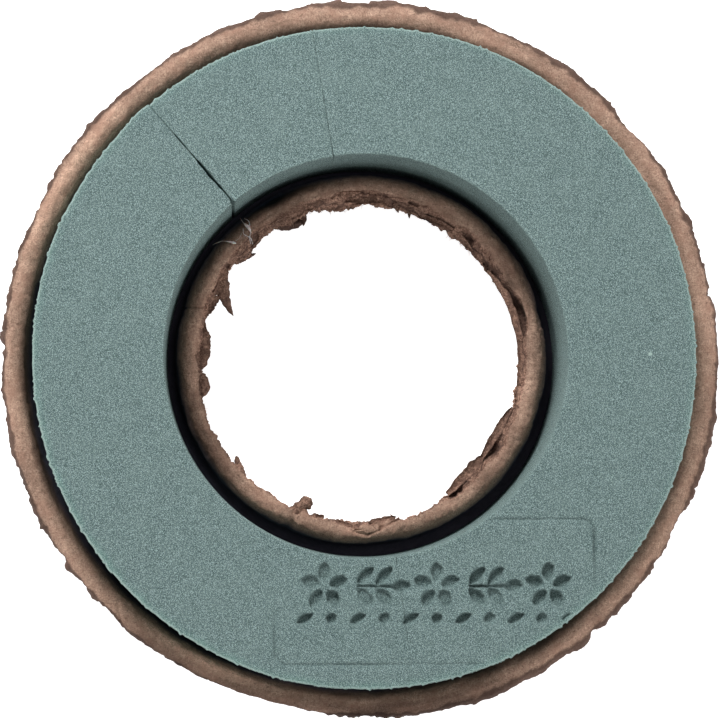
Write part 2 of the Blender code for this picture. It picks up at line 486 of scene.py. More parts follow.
def foam_material():
    """Fine open-cell foam: a dusty teal speckled by its cells, greener towards its outer wall, with a
    painted highlight along its cut edges and a chalky speck.
    """
    n = Nodes("foam")
    grain = n.noise(0.22 * MM, 1.0, 0.7)
    cells = n.cells(0.37 * MM)
    clouds = n.noise(9.0 * MM, 3.0, 0.6)
    body = n.mix(n.span(grain, 0.32, 0.68), rgb(0.048, 0.084, 0.084), rgb(0.370, 0.492, 0.476))
    pits = n.span(cells, 0.42, 0.62)
    body = n.mix(n.maths("MULTIPLY", pits, 0.65), body, rgb(0.040, 0.070, 0.072))
    body = n.mix(n.span(clouds, 0.35, 0.70, 0.0, 0.14), body, rgb(0.230, 0.315, 0.295))
    outer = n.mark("outer")
    tinted = n.maths("MULTIPLY", outer, n.span(clouds, 0.25, 0.75, 0.10, 0.36))
    body = n.mix(tinted, body, rgb(0.165, 0.335, 0.280))
    # Painted highlight along the cut edges, and the chalky speck.
    painted_highlight_and_speck = n.maths("MULTIPLY", n.mark("cut"), n.span(grain, 0.30, 0.62, 0.20, 0.80))
    body = n.mix(painted_highlight_and_speck, body, rgb(0.400, 0.520, 0.480))
    relief = n.bump(pits, -0.25 * MM, 0.6, n.bump(grain, 0.30 * MM, 0.6))
    return n.finish({"Base Color": body, "Normal": relief, "Roughness": 0.95, "Specular IOR Level": 0.15})


def pulp_material():
    """Moulded grey-brown paper pulp: matted fibres, redder where torn, with a wire print underneath, and
    painted light and shade.

    The mesh says where it is torn, where shade is painted on the rim's lip, the tear and the scraps, where
    the channel gets painted shade deep down, where it was moulded against wire, and how much random mottle
    and painted light and shade it gets.
    """
    n = Nodes("pulp")
    lumps = n.noise(3.0 * MM, 3.0, 0.6)
    patches = n.noise(8.0 * MM, 4.0, 0.65)
    threads = []
    for stretch, lean in (((1.0, 0.35, 0.6), 0.5), ((0.35, 1.0, 0.6), 0.2), ((0.6, 0.6, 0.4), 0.9)):
        values = {"Vector": n.place, "Scale": stretch, "Rotation": (0.0, 0.0, lean)}
        turned = n.node("ShaderNodeMapping", values, "Vector")
        threads.append(n.noise(0.62 * MM, 3.0, 0.7, turned, 1.8))
    felt = n.maths("ADD", n.maths("ADD", threads[0], threads[1]), threads[2])
    felt = n.maths("MULTIPLY", felt, 1 / 3)
    specks = n.span(n.noise(1.1 * MM, 2.0, 0.5), 0.62, 0.72)
    torn, painted_shade, painted_channel_shade, mould = [n.mark(name) for name in ("torn", "painted_shade", "painted_channel_shade", "mould")]

    body = n.mix(n.span(felt, 0.41, 0.60), rgb(0.235, 0.146, 0.106), rgb(0.515, 0.347, 0.259))
    body = n.mix(n.span(lumps, 0.38, 0.62, 0.0, 0.42), body, rgb(0.270, 0.162, 0.117))
    body = n.mix(n.span(patches, 0.42, 0.66, 0.0, 0.50), body, rgb(0.285, 0.160, 0.115))
    body = n.mix(n.maths("MULTIPLY", specks, 0.55), body, rgb(0.110, 0.066, 0.050))
    body = n.mix(n.maths("MULTIPLY", mould, 0.70), body, rgb(0.205, 0.145, 0.112))
    ripped = n.mix(n.span(felt, 0.42, 0.60), rgb(0.090, 0.045, 0.033), rgb(0.420, 0.252, 0.182))
    ripped = n.mix(n.span(lumps, 0.48, 0.62, 0.0, 0.60), ripped, rgb(0.060, 0.031, 0.025))
    body = n.mix(n.maths("MULTIPLY", torn, 0.85), body, ripped)
    # Painted shade: the rim's curled lip, the tear's crevices, pits and hollows, and the scraps' undersides
    # and sides.
    body = n.mix(n.maths("MULTIPLY", painted_shade, 0.85), body, rgb(0.055, 0.031, 0.025))
    # Random mottle plus painted light and shade: patches made lighter or darker than the lamps make them.
    mottle_and_painted_light = n.mark("mottle_and_painted_light")
    body = n.mix(n.maths("MULTIPLY", mottle_and_painted_light, -0.45), body, rgb(0.080, 0.034, 0.022))
    body = n.mix(1.0, body, n.maths("ADD", n.maths("MULTIPLY", mottle_and_painted_light, 0.8), 1.0), "MULTIPLY")
    # Painted shade deep in the channel, a dark bluish grey.
    body = n.mix(n.maths("MULTIPLY", painted_channel_shade, 0.96), body, rgb(0.062, 0.062, 0.092))

    # A wave texture's bands are BAND_PITCH apart at scale 1
    wires = []
    for direction in ("X", "Y"):
        values = {"Vector": n.place, "Scale": BAND_PITCH / WIRE_PITCH, "Distortion": 0.6}
        wires.append(n.node("ShaderNodeTexWave", values, "Fac", bands_direction=direction))
    print_of_wires = n.maths("MULTIPLY", n.maths("MAXIMUM", *wires), mould)
    wired = n.bump(print_of_wires, 0.25 * MM, 0.6, n.bump(lumps, 0.9 * MM, 0.6))
    relief = n.bump(felt, 0.60 * MM, 1.0, wired)
    return n.finish({"Base Color": body, "Normal": relief, "Roughness": 0.93, "Specular IOR Level": 0.2})


def glue_material():
    """Cloudy hot-melt glue."""
    n = Nodes("glue")
    clouds = n.noise(1.2 * MM, 2.0)
    body = n.mix(n.span(clouds, 0.3, 0.7), rgb(0.34, 0.29, 0.27), rgb(0.58, 0.53, 0.52))
    return n.finish({
        "Base Color": body,
        "Normal": n.bump(clouds, 0.2 * MM, 0.5),
        "Roughness": 0.35,
        "Subsurface Weight": 0.25,
        "Subsurface Scale": 1.0 * MM,
    })


def floor_material():
    """Plain, pale and softly lit from within. Its underside is clear, so the ring shows from below."""
    n = Nodes("floor")
    below = n.node("ShaderNodeNewGeometry", {}, "Backfacing")
    clear = n.node("ShaderNodeBsdfTransparent", {}, "BSDF")
    sides = n.node("ShaderNodeMixShader", {0: below, 1: n.shader.outputs["BSDF"], 2: clear}, "Shader")
    n.fill(n.tree.nodes["Material Output"].inputs, {"Surface": sides})
    return n.finish({
        "Base Color": rgb(0.80, 0.80, 0.80),
        "Roughness": 0.9,
        "Emission Color": rgb(1.0, 1.0, 1.0),
        "Emission Strength": 0.85,
    })


# ------------ the tray

def upper_section():
    """The tray's upper surface as (radius, height), from the rim's ragged edge to the roll's crest."""
    corners = [
        (RIM_RADIUS, RIM_TOP - 5.2 * MM, 0.0),
        (RIM_RADIUS - 0.5 * MM, RIM_TOP - 1.7 * MM, 2.2 * MM),
        (RIM_RADIUS - 5.2 * MM, RIM_TOP + 0.45 * MM, 4.5 * MM),
        (RIM_RADIUS - 8.8 * MM, RIM_TOP - 1.9 * MM, 3.2 * MM),
        (RIM_RADIUS - 10.0 * MM, PULP, 3.0 * MM),
        (HOLE_RADIUS - 3.0 * MM, PULP, 2.8 * MM),
        (ROLL_RADIUS + 3.9 * MM, ROLL_TOP - 5.5 * MM, 5.0 * MM),
        (ROLL_RADIUS + 0.9 * MM, ROLL_TOP + 0.25 * MM, 3.4 * MM),
        (ROLL_RADIUS - 1.4 * MM, ROLL_TOP - 0.1 * MM, 0.0),
    ]

    def spacing(here, whole):
        if here < 15.0 * MM:
            return 0.50 * MM
        if here > whole - 8.0 * MM:
            return 0.45 * MM
        return 2.4 * MM

    return resampled(filleted(corners), spacing)


def shaped(angle, features):
    """Sum of humps. Each feature is (angle, half width, amount) in degrees and millimetres."""
    return sum(amount * MM * hump(angle, degrees, width) for degrees, width, amount in features)


def mottle_and_painted_light_at(x, y):
    """How much lighter or darker the pulp is painted at a place, as a share: a random mottle, plus the
    painted light and shade of the table of patches.
    """
    angle, radius = np.arctan2(y, x), np.hypot(x, y)
    total = 0.15 * layered(x, y, 0.0, 14 * MM, SEED + 71)
    total = total + 0.20 * streaked(angle, radius, 2.6 * MM, SEED + 72)
    # Painted light and shade from the table of patches.
    for degrees, width, start, end, amount in PAINTED_LIGHT_AND_SHADE:
        inside = smooth(radius, start * MM - 1 * MM, start * MM + 2 * MM)
        inside = inside * smooth(radius, end * MM + 1 * MM, end * MM - 2 * MM)
        total = total + amount * inside * hump(angle, degrees, width)
    return total


def streaked(angle, radius, cell, seed, octaves=3):
    """Noise drawn out along the circumference, as torn plies are."""
    return layered(*polar(18 * MM, angle), radius, cell, seed, octaves, 0.6)


def torn_radius(angle):
    """Distance of the torn edge from the tray's middle: the opening is off centre and ragged."""
    along = TORN_CENTRE[0] * np.cos(angle) + TORN_CENTRE[1] * np.sin(angle)
    waves = 0.45 * MM * around(angle, 20 * MM, SEED + 1) + 0.60 * MM * around(angle, 5 * MM, SEED + 2)
    jagged = 0.35 + 0.65 * smooth(around(angle, 30 * MM, SEED + 4, 1), -0.3, 0.5)
    nibbles = 0.32 * MM * jagged * around(angle, 1.5 * MM, SEED + 3, 3, 0.7)
    return TORN_RADIUS + along + shaped(angle, TORN_FEATURES) + waves + nibbles


def skin_radius(angle):
    """Where the smooth upper skin of the pulp ends and the torn plies begin."""
    waves = 0.55 * MM * around(angle, 13 * MM, SEED + 5) + 0.40 * MM * around(angle, 4 * MM, SEED + 6)
    nibbles = 0.22 * MM * around(angle, 1.2 * MM, SEED + 7, 2, 0.7)
    wanted = SKIN_RADIUS + shaped(angle, SKIN_FEATURES) + waves + nibbles
    return np.maximum(wanted, torn_radius(angle) + 0.5 * MM)


def deckle(angle):
    """Ragged outline of the rim: scallops of several sizes, and some fine fraying."""
    scallops = np.abs(around(angle, 11 * MM, SEED + 21, 2)) ** 0.7
    broad = around(angle, 40 * MM, SEED + 22, 2)
    frayed = smooth(around(angle, 30 * MM, SEED + 24, 1), -0.2, 0.6)
    fine = around(angle, 1.6 * MM, SEED + 23, 2, 0.8)
    ragged = (-1.1 * scallops + 0.35 * broad + (0.16 + 0.30 * frayed) * fine + 0.70) * MM
    places = (angle % TURN) * 125 * MM / RIM_STEP + 0.8 * around(angle, 23 * MM, SEED + 25, 1)
    steps = 0.60 * MM * lattice(np.floor(places).astype(np.int64) % RIM_STEPS, 3, 5, SEED + 26)
    return ragged + steps + shaped(angle, RIM_FEATURES)


def groove(x, y, points, width):
    """1 along a line through points given as (angle, radius in millimetres), 0 beyond its width."""
    line = [polar(radius * MM, math.radians(degrees)) for degrees, radius in points]
    nearest = np.full(np.shape(x), 1.0)
    for (ax, ay), (bx, by) in zip(line, line[1:]):
        dx, dy = bx - ax, by - ay
        t = np.clip(((x - ax) * dx + (y - ay) * dy) / (dx * dx + dy * dy), 0, 1)
        nearest = np.minimum(nearest, np.hypot(x - ax - t * dx, y - ay - t * dy))
    wobble = 1 + 0.6 * noise(x, y, 0.0, 1.3 * MM, SEED + 9)
    return smooth(nearest / wobble, width, 0.15 * width)


def creased(surface, x, y):
    """The surface lowered by each crease."""
    for points, width, depth in CREASES:
        surface = surface - depth * MM * groove(x, y, points, width * MM)
    return surface


def tray_outside(angle):
    """Rim, channel and roll up to the crest, as radius, height and unit offset to the underside, with the
    thickness, painted shade on the rim's curled lip and painted shade deep in the channel.
    """
    section, along = upper_section()
    tangent = np.gradient(section, along, axis=0)
    tangent /= np.linalg.norm(tangent, axis=1)[:, None]
    under = np.stack([-tangent[:, 1], tangent[:, 0]], 1)
    radius, height, s = section[None, :, 0], section[None, :, 1], along[None, :]
    outer_share = smooth(s, 6.0 * MM, 0.0)
    inner_share = smooth(s, s[0, -1] - 14 * MM, s[0, -1])

    r = radius + deckle(angle) * outer_share
    z = height + 0.6 * MM * around(angle, 45 * MM, SEED + 33, 2) * smooth(s, 30 * MM, 8 * MM)
    z = z + 0.6 * MM * around(angle, 12 * MM, SEED + 34) * outer_share
    z = z + 0.45 * MM * around(angle, 30 * MM, SEED + 36, 2) * inner_share
    r = r + 0.55 * MM * around(angle, 38 * MM, SEED + 37, 2) * inner_share
    r = r - 0.5 * MM * np.sin(angle) * inner_share
    rim_share = smooth(s, 22 * MM, 14 * MM) * smooth(s, 3 * MM, 9 * MM)
    r = r - RIM_LEAN * np.cos(angle - math.radians(40)) * rim_share

    x, y = polar(radius, angle)
    lumps = 0.38 * MM * layered(x, y, height, 8 * MM, SEED + 31, 3)
    matted = 0.19 * MM * layered(x, y, height, 1.6 * MM, SEED + 32, 2)
    free = smooth(height, PULP + 1 * MM, PULP + 6 * MM)
    swell = creased((lumps + matted) * free, x, y)
    r = r - under[None, :, 0] * swell
    z = z - under[None, :, 1] * swell
    thick = PULP * (1 - 0.55 * smooth(s, 4.0 * MM, 0.0)) * np.ones_like(r)
    frayed = s + 0.7 * MM * around(angle, 4 * MM, SEED + 38, 3, 0.7)
    # Painted shade on the rim's curled-down outer lip, darkest at its frayed edge.
    painted_shade = 0.88 * smooth(frayed, 5.0 * MM, 4.1 * MM) + 0.08 * smooth(s, 8.0 * MM, 4.0 * MM)
    # Painted shade on the pulp deep in the channel, darker the lower it lies.
    painted_channel_shade = smooth(z, ROLL_TOP - 1.5 * MM, ROLL_TOP - 8 * MM) * smooth(s, 5 * MM, 9 * MM)
    return r, z, under, thick, painted_shade, painted_channel_shade


def tray_tear(angle, crest_r, crest_z):
    """From the crest inwards: the skin's edge, a step down, the torn plies, and the torn edge."""
    skin, torn = skin_radius(angle), torn_radius(angle)
    skin_share = np.linspace(0, 1, 7)[None, 1:]
    skin_r = crest_r + (skin - crest_r) * skin_share
    fall = crest_r - skin_r
    skin_z = crest_z - fall ** 2 / (9 * MM) - 0.10 * fall
    edge_z = skin_z[:, -1:]

    q = np.concatenate([[0.0, 0.015], np.linspace(0.05, 0.93, 20), [0.965, 0.985, 1.0]])[None, :]
    width = skin - torn
    shelf_r = skin - 0.10 * MM - (width - 0.10 * MM) * q
    step = (0.75 + 0.35 * around(angle, 7 * MM, SEED + 41)) * MM * smooth(width, 0.3 * MM, 1.6 * MM)
    slope = np.minimum(3.3 * MM, 0.95 * width + 0.3 * MM)
    shelf_z = edge_z - step - slope * q ** 1.15

    x, y = polar(shelf_r, angle)
    roomy = smooth(width, 1.2 * MM, 3 * MM)
    crevice = 0.0
    for seed, level in ((SEED + 40, 0.22), (SEED + 42, 0.48), (SEED + 55, 0.74)):
        ply = level + 0.17 * around(angle, 7 * MM, seed)
        strength = roomy * smooth(around(angle, 11 * MM, seed + 60), -0.5, 0.3)
        shelf_z = shelf_z - 0.60 * MM * smooth(q, ply, ply + 0.06) * strength
        crevice = np.maximum(crevice, smooth(np.abs(q - ply - 0.06), 0.075, 0.02) * strength)
    hollow = shaped(angle, HOLLOWS) * (0.9 + 0.2 * around(angle, 14 * MM, SEED + 43))
    ledge = 0.80 + 0.14 * around(angle, 4 * MM, SEED + 48)
    hollow = hollow * smooth(q, 0.01, 0.16) * smooth(q, ledge, ledge - 0.16)
    pits = smooth(streaked(angle, shelf_r, 1.9 * MM, SEED + 44, 2), 0.40, 0.75) * roomy
    rough = streaked(angle, shelf_r, 1.5 * MM, SEED + 45)
    rough = rough + 0.4 * layered(x, y, shelf_z, 1.1 * MM, SEED + 49, 2)
    middle = smooth(q, 0.0, 0.12)
    shelf_z = shelf_z - hollow - 1.2 * MM * pits * middle + 0.45 * MM * rough * middle
    # Painted shade in the crevices between the plies, in the pits and in the hollows under the lifted skin.
    shade = np.maximum(0.90 * crevice, 0.70 * pits * middle)
    darkness = 0.80 + 0.25 * streaked(angle, shelf_r, 1.6 * MM, SEED + 50)
    shade = np.clip(np.maximum(shade, darkness * smooth(hollow, 0.6 * MM, 3.0 * MM)), 0, 1)
    shelf_r = shelf_r + 0.25 * MM * layered(x, y, shelf_z, 1.4 * MM, SEED + 46, 2) * smooth(q, 0.1, 0.4)

    r, z = joined(skin_r, shelf_r), joined(skin_z, shelf_z)
    x, y = polar(r, angle)
    lumps = 0.36 * MM * layered(x, y, 0.0, 8 * MM, SEED + 31, 3)
    z = creased(z + lumps * smooth(crest_r - r, 0.0, 1.0 * MM), x, y)
    plies = joined(1.9 * np.ones_like(skin_r), 1.45 - 1.0 * q + 0 * shelf_r) * MM
    thick = plies * (1 + 0.25 * around(angle, 3 * MM, SEED + 47))
    torn_share = joined(0.45 * smooth(skin_share, 0.7, 1.0) + 0 * skin_r, np.ones_like(shelf_r))
    shade = joined(np.zeros_like(skin_r), shade + 0 * shelf_r)
    return r, z, thick, torn_share, shade


def make_tray(finish):
    """One closed shell: its upper surface, then back along its underside."""
    angle = np.linspace(0, TURN, TRAY_COLUMNS, endpoint=False)[:, None]
    r, z, under, thick, painted_shade, painted_channel_shade = tray_outside(angle)
    tear_r, tear_z, tear_thick, torn, shade = tray_tear(angle, r[:, -1:], z[:, -1:])

    low_r = joined(r + under[None, :, 0] * thick, tear_r + 0.35 * tear_thick)
    low_z = joined(z + under[None, :, 1] * thick, tear_z - tear_thick)
    up_r, up_z = joined(r, tear_r), joined(z, tear_z)
    low_z = np.where(up_z < PULP * 1.05, 0.0, np.clip(low_z, 0.0, None))
    rows = up_r.shape[1]
    kept = np.unique(np.concatenate([np.arange(0, r.shape[1]), np.arange(r.shape[1], rows, 2), [rows - 1]]))
    kept = kept[::-1]

    places = [*polar(joined(up_r, low_r[:, kept]), angle), joined(up_z, low_z[:, kept])]

    def both_sides(upper_values, lower_scale):
        return joined(upper_values, lower_scale * upper_values[:, kept])

    outside = np.zeros_like(r)
    marks = {
        "torn": both_sides(joined(outside, torn), 0.8),
        # Painted shade of the rim's lip and the tear, also underneath.
        "painted_shade": both_sides(joined(painted_shade, shade), 1.0),
        # Random mottle plus painted light and shade, weaker underneath.
        "mottle_and_painted_light": both_sides(mottle_and_painted_light_at(*polar(up_r, angle)), 0.3),
        # Painted shade deep in the channel, none underneath.
        "painted_channel_shade": both_sides(joined(painted_channel_shade, np.zeros_like(torn)), 0.0),
        "mould": joined(np.zeros_like(up_r), np.ones_like(low_r[:, kept])),
    }
    return grid_object("tray_shell", np.stack(places, -1), True, marks, finish)


def along_curve(points, count):
    """Points on a smooth curve through a few (angle, radius, height), evenly spread in its parameter."""
    angles, radii, heights = np.array(points, float).T
    knots = np.stack([*polar(radii, np.radians(angles)), heights], 1) * MM
    padded = np.concatenate([[2 * knots[0] - knots[1]], knots, [2 * knots[-1] - knots[-2]]])
    found = []
    for t in np.linspace(0, len(knots) - 1, count):
        i = min(int(t), len(knots) - 2)
        f = t - i
        a, b, c, d = padded[i:i + 4]
        found.append(0.5 * (2 * b + (c - a) * f + (2 * a - 5 * b + 4 * c - d) * f ** 2
                            + (3 * b - a - 3 * c + d) * f ** 3))
    return np.array(found)


def make_flap(name, points, widths, curl, thick, seed, finish):
    """A torn scrap of pulp along a line, with ragged sides. curl lifts (or drops) its two sides."""
    rows, columns = 34, 15
    spine = along_curve(points, rows)
    ahead = np.gradient(spine, axis=0)
    ahead /= np.linalg.norm(ahead, axis=1)[:, None]
    side = np.cross(ahead, (0.0, 0.0, 1.0))
    side /= np.linalg.norm(side, axis=1)[:, None]
    up = np.cross(side, ahead)
    u = np.linspace(0, 1, rows)[:, None]
    v = np.linspace(-1, 1, columns)[None, :]
    wide = np.interp(u, np.linspace(0, 1, len(widths)), widths) * MM / 2
    wide = wide * np.sqrt(1.03 - np.clip((u - 0.86) / 0.14, 0, 1) ** 2)
    ragged = [1 + 0.16 * layered(u * 9, end + 0 * u, 0.0, 1.0, seed, 3, 0.75) for end in (3.0, 8.0)]
    reach = np.where(v < 0, ragged[0], ragged[1]) * wide * v
    bend = curl * MM * v ** 2
    spot = spine[:, None, :] + side[:, None, :] * reach[..., None] + up[:, None, :] * bend[..., None]
    rough = layered(spot[..., 0], spot[..., 1], spot[..., 2], 1.7 * MM, seed + 3, 3, 0.65)
    upper = spot + up[:, None, :] * (0.35 * MM * rough)[..., None]
    thinned = thick * MM * (1 - 0.55 * np.abs(v) ** 3) * (1 - 0.6 * u ** 4)
    lower = upper - up[:, None, :] * (thinned * (1 + 0.3 * rough))[..., None]
    places = joined(upper, lower[:, ::-1])
    # Painted shade: darker lower down, where a scrap curls under, and along its curled sides.
    sides = smooth(np.abs(v), 0.45, 1.0)
    shadow = 0.10 + np.clip(18.0 * MM - places[..., 2], 0, 3.0 * MM) / (3.3 * MM)
    marks = {
        "torn": np.ones(places.shape[:2]),
        "painted_shade": np.maximum(shadow, 0.50 * joined(sides, sides)),
    }
    return grid_object(name, places, False, marks, finish)


def make_flaps(finish):
    """The larger scraps still hanging at the torn edge."""
    for number, (place, (points, widths, curl, thick)) in enumerate(SCRAPS.items()):
        flap = make_flap("torn_" + place, points, widths, curl, thick, SEED + 100 + 7 * number, finish)
        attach(flap, "root")


def tube(spine, radii, sides):
    """Rings of points round a line, as a grid for one closed tube."""
    ahead = np.gradient(spine, axis=0)
    ahead /= np.linalg.norm(ahead, axis=1)[:, None] + 1e-12
    across = np.cross(ahead, (0.31, 0.17, 0.94))
    across /= np.linalg.norm(across, axis=1)[:, None] + 1e-12
    up = np.cross(across, ahead)
    turn = np.linspace(0, TURN, sides, endpoint=False)
    ring = across[:, None, :] * np.cos(turn)[None, :, None] + up[:, None, :] * np.sin(turn)[None, :, None]
    return spine[:, None, :] + ring * np.asarray(radii)[:, None, None]


def merged(name, grids, finish):
    """One object of many closed tubes."""
    points, faces = [], []
    for grid in grids:
        start = len(points)
        points += grid.reshape(-1, 3).tolist()
        faces += [[start + corner for corner in face] for face in loop_faces(*grid.shape[:2], False)]
    mesh = bpy.data.meshes.new(name)
    mesh.from_pydata(points, [], faces)
    return finished(name, mesh, finish)


def make_fibres(finish):
    """Short paper fibres sticking out of the torn edge and the rim's ragged edge."""
    chance = np.random.default_rng(SEED)
    grids = []
    for number in range(FIBRES):
        at_rim = number % 3 == 0
        angle = chance.uniform(0, TURN)
        length = chance.uniform(0.8, 2.4) * MM * (0.5 if at_rim else 1.0)
        if at_rim:
            radius = RIM_RADIUS + float(deckle(np.array(angle))) - 0.4 * MM
            height = RIM_TOP - chance.uniform(1.5, 4.0) * MM
            outward = 1.0
        else:
            radius = float(torn_radius(np.array(angle))) + 0.7 * MM
            height = chance.uniform(16.6, 18.0) * MM
            outward = -1.0
        lean = angle + chance.uniform(-1.1, 1.1)
        heading = np.array([outward * math.cos(lean), outward * math.sin(lean), chance.uniform(-0.5, 0.3)])
        bend = np.cross(heading, (0, 0, 1)) * chance.uniform(-0.5, 0.5)
        t = np.linspace(0, 1, FIBRE_KNOTS)[:, None]
        start = np.array([radius * math.cos(angle), radius * math.sin(angle), height])
        spine = start + length * (t * heading + t ** 2 * bend)
        grids.append(tube(spine, np.linspace(0.09, 0.03, FIBRE_KNOTS) * MM, 4))
    fibres = merged("tray_fibres", grids, finish)
    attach(fibres, "root")


def make_glue_strings(finish):
    """Strings and drips of glue drawn over the roll beside the open joint."""
    grids = []
    for points, radii in GLUE_STRINGS:
        spine = along_curve(points, GLUE_KNOTS)
        swell = np.interp(np.linspace(0, 1, GLUE_KNOTS), np.linspace(0, 1, len(radii)), radii)
        lumpy = swell * (1 + 0.25 * noise(spine[:, 0], spine[:, 1], 0.0, 0.8 * MM, SEED + 91))
        grid = tube(spine, lumpy * MM, 10)
        middle = spine[:, None, 2:3]
        grid[..., 2:3] = middle + GLUE_FLATNESS * (grid[..., 2:3] - middle)
        grids.append(grid)
    strings = merged("glue_strings", grids, finish)
    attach(strings, "root")
    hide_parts("glue_bead")


# ------------ the foam

def leaf_field(x, y, long, wide, turn):
    """Distance to a pointed leaf, below 0 inside. It is where two equal circles cross."""
    c, s = math.cos(turn), math.sin(turn)
    u, v = x * c + y * s, -x * s + y * c
    half, side = long / 2, wide / 2
    circle = (half * half + side * side) / (2 * side)
    return np.hypot(u, np.abs(v) + circle - side) - circle


def box_field(x, y, wide, high, corner):
    """Distance to a box with round corners, below 0 inside."""
    dx = np.abs(x) - wide / 2 + corner
    dy = np.abs(y) - high / 2 + corner
    outside = np.hypot(np.maximum(dx, 0), np.maximum(dy, 0))
    return outside + np.minimum(np.maximum(dx, dy), 0) - corner


def blossom_field(x, y, size):
    """Five plump petals round a raised eye."""
    petals = np.full(np.shape(x), 1.0)
    for number in range(5):
        turn = math.radians(90 + 72 * number)
        px, py = x - 0.62 * size * math.cos(turn), y - 0.62 * size * math.sin(turn)
        petals = np.minimum(petals, leaf_field(px, py, 0.86 * size, 0.56 * size, turn))
    return np.maximum(petals, 0.19 * size - np.hypot(x, y))


def sprig_field(x, y, size):
    """A stem lying on its side with two pairs of leaves and one at its tip."""
    found = box_field(x + 0.15 * size, y, 1.8 * size, 0.17 * size, 0.06 * size)
    for side in (-1, 1):
        for level in (-0.66, 0.14):
            turn = side * math.radians(46)
            cx, cy = level * size, side * 0.45 * size
            found = np.minimum(found, leaf_field(x - cx, y - cy, 1.04 * size, 0.52 * size, turn))
    return np.minimum(found, leaf_field(x - 0.90 * size, y, 0.84 * size, 0.56 * size, 0.0))


def pressed_depth(x, y):
    """How far the foam's top is pressed in: a frame, a row of plant shapes and a row of small leaves."""
    wobble = 0.20 * MM * noise(x, y, 0.0, 1.1 * MM, SEED + 52)
    wobble = wobble + 0.16 * MM * noise(x, y, 0.0, 0.6 * MM, SEED + 53)
    u, v = x - MARK_CENTRE[0] + wobble, y - MARK_CENTRE[1] + wobble
    patchy = 0.65 + 0.45 * noise(x, y, 0.0, 16 * MM, SEED + 54)
    frame_line = np.abs(box_field(u, v, MARK_SIZE[0], MARK_SIZE[1], MARK_CORNER))
    strong_right = smooth(u, -10 * MM, 45 * MM)
    strong_corner = 0.8 * smooth(v, -4 * MM, -22 * MM) * smooth(u, 10 * MM, -45 * MM)
    strong = np.maximum(strong_right, strong_corner)
    depth = (0.30 + 0.80 * strong) * patchy * MM * smooth(frame_line, 0.80 * MM, 0.15 * MM)

    shapes = np.full(np.shape(x), 1.0)
    for number, field in enumerate((blossom_field, sprig_field, blossom_field, sprig_field, blossom_field)):
        px = u - (number - 2) * PLANT_PITCH - 0.4 * MM
        shapes = np.minimum(shapes, field(px, v - BIG_ROW_Y, PLANT_SIZE))
    uneven = 0.92 + 0.40 * noise(x, y, 0.0, 9 * MM, SEED + 51)
    depth = np.maximum(depth, MARK_DEPTH * uneven * smooth(shapes, 0.05 * MM, -0.55 * MM))

    small = np.full(np.shape(x), 1.0)
    for number in range(LEAVES):
        px = u - (number - LEAVES // 2) * LEAF_PITCH - 0.5 * MM
        if number % 2:
            leaf = leaf_field(px, v - SMALL_ROW_Y, 4.2 * MM, 4.0 * MM, 0.0)
        else:
            leaf = leaf_field(px, v - SMALL_ROW_Y, 6.6 * MM, 3.4 * MM, math.radians(28.0))
        small = np.minimum(small, leaf)
    return np.maximum(depth, 2.4 * MM * uneven * smooth(small, 0.05 * MM, -0.6 * MM))


def foam_angles(start, end):
    """Columns of one foam piece, closer together where the mark is pressed."""
    fine, plain = math.radians(0.20), math.radians(0.26)
    mark_from, mark_to = math.radians(238.0), math.radians(328.0)
    angles, here = [start], start
    while here < end:
        here += fine if mark_from < here % TURN < mark_to else plain
        angles.append(min(here, end))
    if angles[-1] - angles[-2] < plain * 0.2:
        angles.pop(-2)
    return np.array(angles)


def foam_section():
    """Points round a piece's cross-section, as share of its width, inset in metres, and height."""
    turns = np.linspace(0, math.pi / 2, 5)[1:]
    corner = [(EDGE_ROUND * (1 - math.cos(t)), FOAM_TOP - EDGE_ROUND * (1 - math.sin(t))) for t in turns]
    corner = [(0.0, FOAM_TOP - EDGE_ROUND), *corner]
    wall = np.linspace(FOAM_TOP - EDGE_ROUND, FOAM_BASE + 0.5 * MM, FOAM_DOWN)[1:]
    places = [(0.0, inset, z) for inset, z in corner]
    across = np.linspace(0, 1, FOAM_ACROSS)[1:-1]
    places += [(share, (1 - 2 * share) * EDGE_ROUND, FOAM_TOP) for share in across]
    places += [(1.0, -inset, z) for inset, z in reversed(corner)]
    places += [(1.0, 0.0, z) for z in wall]
    places += [(1.0, -0.5 * MM, FOAM_BASE), (0.5, 0.0, FOAM_BASE), (0.0, 0.5 * MM, FOAM_BASE)]
    places += [(0.0, 0.0, z) for z in wall[::-1]]
    return [np.array(values)[None, :] for values in zip(*places)]


def cut_back(x, y, z, share, away, opening, side):
    """How far along the ring the points near one cut end move, for the joint and its crumbs.

    opening is the half gap there, outside and inside. side is 1 at the piece's start and -1 at its end.
    """
    outside, inside = opening
    crumbs = np.clip(noise(x, y, z, 1.0 * MM, SEED + 63) - 0.15, 0, 1)
    crumbs = crumbs * smooth(z, FOAM_TOP - 3 * MM, FOAM_TOP) * smooth(share, 0.9, 0.3)
    dashes = smooth(noise(x, y, 0.0, 2.2 * MM, SEED + 67), -0.3, 0.3)
    gap = (outside + (inside - outside) * (1 - share) ** 1.5) * (0.5 + dashes)
    gap = gap * (0.35 + 0.65 * smooth(z, FOAM_TOP - 9 * MM, FOAM_TOP - 1 * MM))
    worn = 0.9 * MM * smooth(share, 0.035, 0.0) if inside > 0.3 * MM and side > 0 else 0.0
    return (gap + 0.36 * MM * crumbs + worn) * smooth(away, math.radians(1.0), 0.0) * side


def foam_marks(angle, share, height, speck):
    """Where the foam is greener, towards its outer wall, and lighter: a painted highlight along its cut
    edges, and a chalky speck.
    """
    cut = np.maximum(smooth(share, 0.990, 1.0) * 0.8, smooth(share, 0.012, 0.0) * 0.12)
    cut = cut * smooth(height, FOAM_TOP - 1.2 * MM, FOAM_TOP - 0.4 * MM)
    # The painted highlight is stronger at the lower left.
    cut = cut * (1 + 0.45 * hump(angle, 225.0, 70.0))
    greener = 0.35 + 0.65 * hump(angle, 225.0, 110.0)
    return {
        "outer": greener * smooth(share, 0.93, 1.0),
        "cut": np.maximum(cut, 1.6 * speck),
    }


